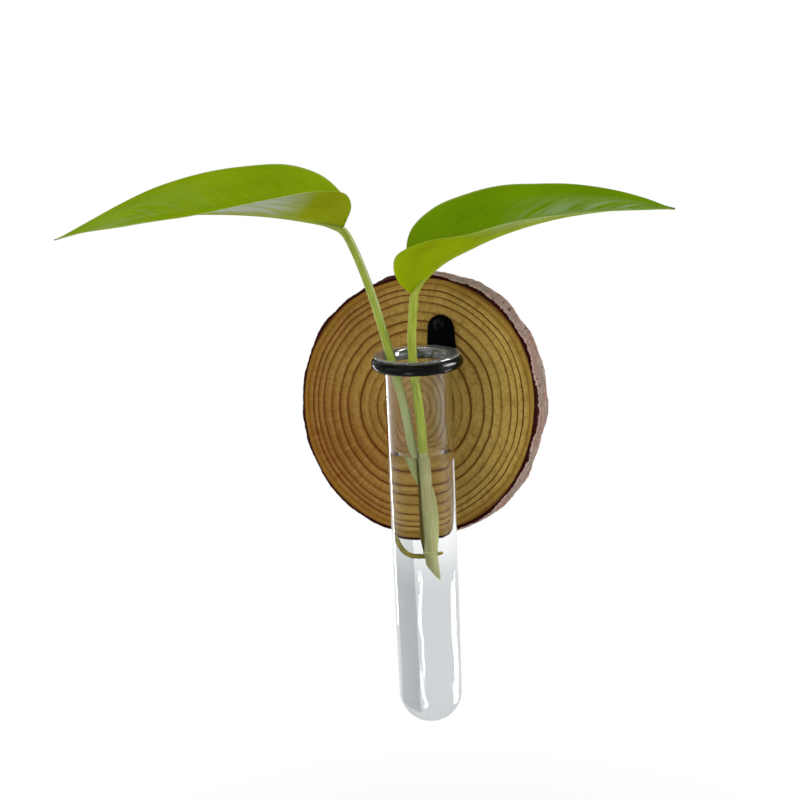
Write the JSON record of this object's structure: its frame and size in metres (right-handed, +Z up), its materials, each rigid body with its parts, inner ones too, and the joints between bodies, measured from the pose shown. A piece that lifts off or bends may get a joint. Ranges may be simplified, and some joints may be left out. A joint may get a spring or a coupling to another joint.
{
  "type": "wall-hung propagation vase",
  "caption": "Bark-edged wood slice for a wall, with a strap-mounted metal ring that holds a removable round-bottomed glass tube for rooting a leafy cutting in water.",
  "frame": {"origin": "middle of the wood slice's back face, on the wall", "axes": "+Z up, +Y into the wall, +X to the right seen from the front"},
  "size_m": [0.2271, 0.0735, 0.2186],
  "materials": {
    "wood": "sanded end grain under a thin clear coat",
    "bark": "rough flaking bark",
    "black_metal": "black enamel",
    "clear_glass": "clear borosilicate glass",
    "leaf": "smooth waxy leaf",
    "stalk": "smooth pale green stalk",
    "root": "matte olive-brown root"
  },
  "bodies": {
    "plaque": {"wood_slice": "wood", "bark_rim": "bark", "bracket_strap": "black_metal", "holder_ring": "black_metal", "strap_screw": "black_metal"},
    "tube": {"test_tube": "clear_glass"},
    "cutting": {"cutting_stem": "stalk", "left_petiole": "stalk", "right_petiole": "stalk", "left_leaf": "leaf", "right_leaf": "leaf", "aerial_root": "root"}
  },
  "joints": [
    {"name": "tube_lift", "type": "slide", "parent": "plaque", "child": "tube", "axis": [0, 0, 1], "range_m": [0, 0.155]},
    {"name": "cutting_lift", "type": "slide", "parent": "tube", "child": "cutting", "axis": [0, 0, 1], "range_m": [0, 0.095]}
  ]
}
